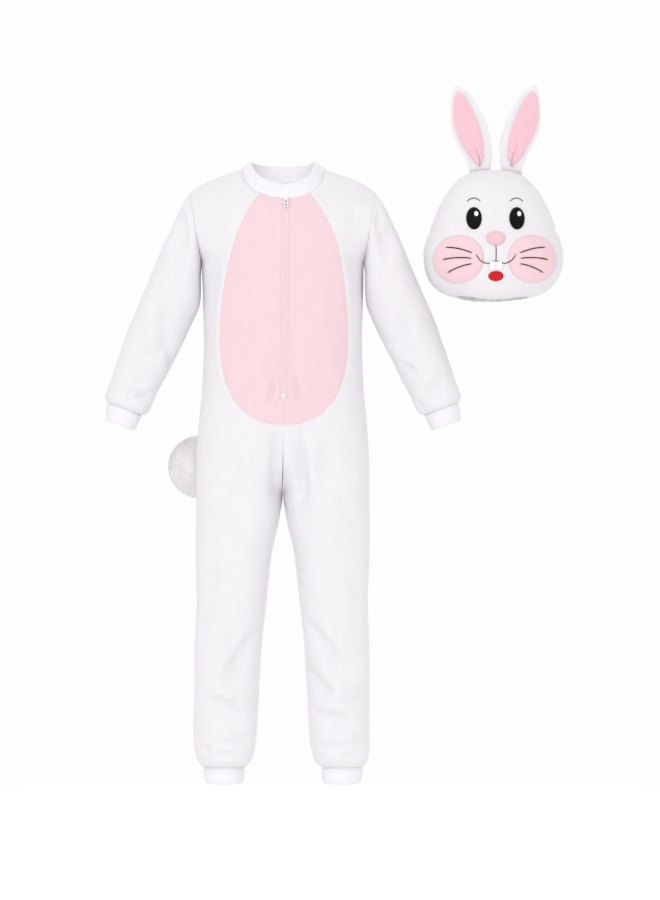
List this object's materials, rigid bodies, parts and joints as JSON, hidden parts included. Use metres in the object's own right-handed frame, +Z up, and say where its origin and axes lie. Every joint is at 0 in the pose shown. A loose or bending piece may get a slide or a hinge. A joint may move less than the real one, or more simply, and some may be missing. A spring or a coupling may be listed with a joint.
{
  "type": "rabbit costume, a jumpsuit with a padded rabbit head",
  "caption": "Child's white plush jumpsuit with a pink egg-shaped belly, front zip, rib cuffs and ball tail, and a separate hollow padded rabbit head with ears.",
  "frame": {"origin": "middle of the neck seam at the height of the shoulders' neck points, where the wearer's shoulders carry the jumpsuit", "axes": "+Z up along the body, the front faces -Y, +X to the right of someone who looks at the front"},
  "size_m": [0.777, 0.2754, 1.188],
  "materials": {
    "white_plush": "short plush pile",
    "pink_plush": "short plush pile",
    "white_rib": "fine 1x1 rib knit",
    "head_plush": "short plush over wadding",
    "tail_plush": "dense faux fur",
    "zip_tape": "woven tape with a nylon coil",
    "zip_enamel": "white enamel",
    "black_embroidery": "satin stitch",
    "red_felt": "satin stitch",
    "white_felt": "felt"
  },
  "bodies": {
    "costume": {"front_left": "white_plush", "front_right": "white_plush", "back_left": "white_plush", "back_right": "white_plush", "sleeve_left": "white_plush", "sleeve_right": "white_plush", "belly_left": "pink_plush", "belly_right": "pink_plush", "cheek_left": "pink_plush", "cheek_right": "pink_plush", "ear_lining_left": "pink_plush", "ear_lining_right": "pink_plush", "nose": "pink_plush", "wrist_cuff_left": "white_rib", "wrist_cuff_right": "white_rib", "ankle_cuff_left": "white_rib", "ankle_cuff_right": "white_rib", "collar": "white_rib", "head_front": "head_plush", "head_back": "head_plush", "ear_left": "head_plush", "ear_right": "head_plush", "tail": "tail_plush", "zip_chain": "zip_tape", "zip_slider": "zip_enamel", "zip_stop": "zip_enamel", "eye_left": "black_embroidery", "eye_right": "black_embroidery", "tongue": "red_felt", "teeth": "white_felt"},
    "pull_tab": {"zip_pull": "zip_enamel"}
  },
  "joints": [
    {"name": "pull_hinge", "type": "hinge", "parent": "costume", "child": "pull_tab", "pos_m": [0.00592, -0.07317, -0.05435], "axis": [-1, 0, 0], "range_deg": [0, 150]}
  ]
}
